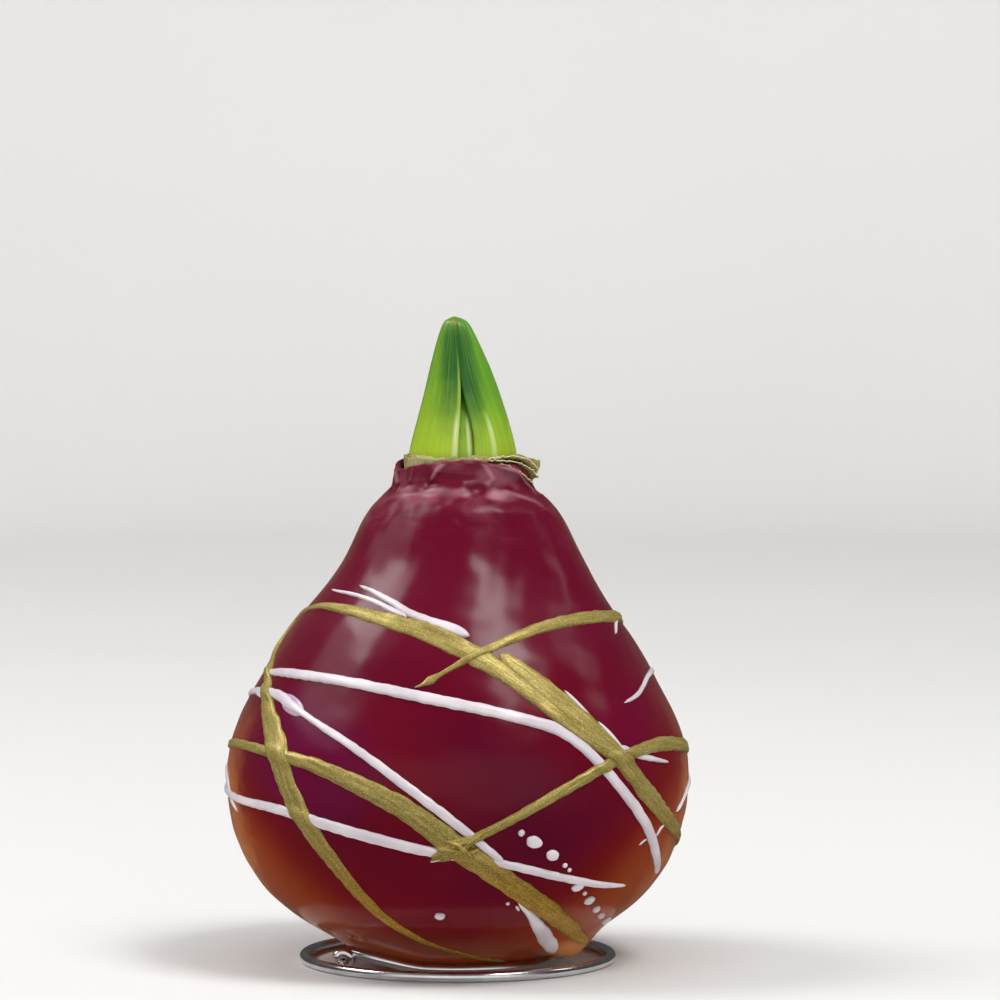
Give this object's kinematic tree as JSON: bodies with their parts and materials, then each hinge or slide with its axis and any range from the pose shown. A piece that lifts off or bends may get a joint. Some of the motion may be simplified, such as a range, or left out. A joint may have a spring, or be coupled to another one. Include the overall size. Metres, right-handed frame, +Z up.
{
  "type": "waxed amaryllis bulb",
  "caption": "Amaryllis bulb dipped in dark red wax, drizzled with gold and white wax, with a short green shoot in its papery neck, standing on a coiled wire ring foot.",
  "frame": {"origin": "on the table, under the middle of the bulb", "axes": "+Z up along the bulb and its shoot, -Y the front, +X the right side seen from the front"},
  "size_m": [0.0978, 0.0988, 0.1343],
  "materials": {
    "red_wax": "glossy burgundy wax that turns terracotta and amber low down and at the edges",
    "gold_wax": "satin metallic gold wax with fine glitter and lengthwise wrinkles",
    "white_wax": "smooth glossy off-white wax",
    "leaf_green": "fresh leaf with fine lengthwise veins, lime at its base and edges, darker up its middle",
    "young_green": "young leaf, bright lime",
    "dry_tunic": "dry papery bulb skin, matt tan",
    "bright_wire": "bright plated wire"
  },
  "bodies": {
    "root": {"wax_coat": "red_wax", "bulb": "dry_tunic", "leaf_left": "leaf_green", "leaf_right": "leaf_green", "inner_leaf": "young_green", "gold_drizzle": "gold_wax", "white_strand_1": "white_wax", "white_strand_2": "white_wax", "white_strand_3": "white_wax", "white_strand_4": "white_wax", "white_strand_5": "white_wax", "white_strand_6": "white_wax", "white_strand_7": "white_wax", "white_drop_01": "white_wax", "white_drop_02": "white_wax", "white_drop_03": "white_wax", "white_drop_04": "white_wax", "white_drop_05": "white_wax", "white_drop_06": "white_wax", "white_drop_07": "white_wax", "white_drop_08": "white_wax", "white_drop_09": "white_wax", "white_drop_10": "white_wax", "white_drop_11": "white_wax", "white_drop_12": "white_wax", "white_drop_13": "white_wax", "wire_foot": "bright_wire"}
  },
  "joints": []
}
